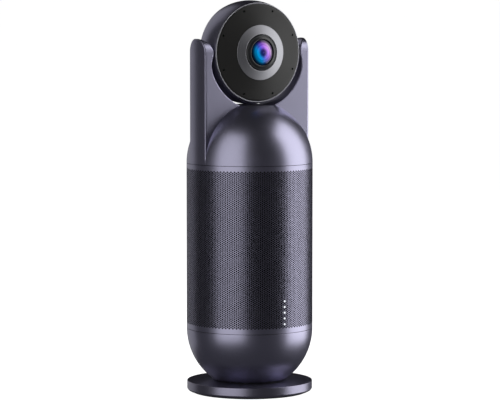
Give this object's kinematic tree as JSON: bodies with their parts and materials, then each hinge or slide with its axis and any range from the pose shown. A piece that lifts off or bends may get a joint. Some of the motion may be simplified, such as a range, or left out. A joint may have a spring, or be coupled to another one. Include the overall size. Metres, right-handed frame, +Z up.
{
  "type": "pan-tilt conference camera",
  "caption": "Table-top conference camera: round camera head tilting in a forked yoke that pans on a cylindrical speaker body with a perforated grille, on a round foot.",
  "frame": {"origin": "centre of the underside of the rubber foot", "axes": "+Z up, the lens looks along -Y at rest, +X is the camera's left as it looks out"},
  "size_m": [0.1, 0.1, 0.3109],
  "materials": {
    "body_paint": "satin lilac grey",
    "base_paint": "satin dark grey",
    "black_plastic": "matte black",
    "front_black": "polished black",
    "bright_trim": "polished",
    "bezel_metal": "turned satin",
    "coated_glass": "blue and violet coating",
    "light_pipe": "milky white",
    "speaker_cone": "matte black",
    "magnet": "dark",
    "rubber": "matte black",
    "circuit_board": "green solder mask",
    "steel": "plain",
    "aluminium": "plain",
    "brass": "plain"
  },
  "bodies": {
    "base": {"rubber_foot": "rubber", "base_plate": "base_paint", "ballast_plate": "steel", "base_screws": "steel", "pedestal_neck": "black_plastic", "neck_nut": "steel", "lower_bowl": "body_paint", "port_panel": "black_plastic", "usb_socket": "steel", "power_socket": "black_plastic", "button_switch": "black_plastic", "port_board": "circuit_board", "lower_gasket": "rubber", "speaker_box": "black_plastic", "speaker_lid": "black_plastic", "woofer_frame": "steel", "woofer_magnet": "magnet", "woofer_cone": "speaker_cone", "bass_radiator": "rubber", "led_board": "circuit_board", "led_lenses": "light_pipe", "grille_tube": "body_paint", "deck_posts": "steel", "main_board": "circuit_board", "heat_sink": "aluminium", "pan_motor": "steel", "pan_deck": "aluminium", "bearing_outer": "steel", "bearing_balls": "steel", "top_ring": "black_plastic"},
    "power_button": {"power_button": "base_paint"},
    "pan_pinion": {"pan_pinion": "brass"},
    "turret": {"bearing_inner": "steel", "pan_gear": "brass", "pan_shaft": "steel", "turret_floor": "black_plastic", "turret_screws": "steel", "turret_board": "circuit_board", "motor_bracket": "steel", "tilt_motor": "steel", "tilt_belt": "rubber", "turret_shell": "body_paint", "arm_cover_left": "body_paint", "arm_cover_right": "body_paint", "tilt_bushes": "brass"},
    "motor_pulley": {"motor_pulley": "brass"},
    "head": {"pivot_left": "steel", "pivot_right": "steel", "tilt_pulley": "brass", "head_shell": "body_paint", "head_back": "base_paint", "front_trim": "bright_trim", "front_glass": "front_black", "lens_bezel": "bezel_metal", "lens_barrel": "black_plastic", "front_lens": "coated_glass", "image_sensor": "circuit_board", "mic_board": "circuit_board"},
    "zoom_group": {"zoom_group": "coated_glass"},
    "focus_group": {"focus_group": "coated_glass"}
  },
  "joints": [
    {"name": "pan", "type": "hinge", "parent": "base", "child": "turret", "pos_m": [0, 0, 0.1827], "axis": [0, 0, 1], "range_deg": [-170, 170]},
    {"name": "pinion_spin", "type": "hinge", "parent": "base", "child": "pan_pinion", "pos_m": [0, 0.03, 0.172], "axis": [0, 0, 1], "range_deg": [-685, 685]},
    {"name": "tilt", "type": "hinge", "parent": "turret", "child": "head", "pos_m": [0, 0, 0.2699], "axis": [1, 0, 0], "range_deg": [-90, 45]},
    {"name": "motor_spin", "type": "hinge", "parent": "turret", "child": "motor_pulley", "pos_m": [0, 0, 0.205], "axis": [1, 0, 0], "range_deg": [-146, 74]},
    {"name": "power_press", "type": "slide", "parent": "base", "child": "power_button", "axis": [0, -1, 0], "range_m": [0, 0.00075], "stiffness_N_per_m": 800, "springref_m": -0.0005},
    {"name": "zoom_slide", "type": "slide", "parent": "head", "child": "zoom_group", "axis": [0, -1, 0], "range_m": [0, 0.006]},
    {"name": "focus_slide", "type": "slide", "parent": "head", "child": "focus_group", "axis": [0, -1, 0], "range_m": [0, 0.002]}
  ],
  "couplings": [
    {"joint": "pinion_spin", "follows": "pan", "ratio": -4},
    {"joint": "motor_spin", "follows": "tilt", "ratio": 1.6}
  ]
}
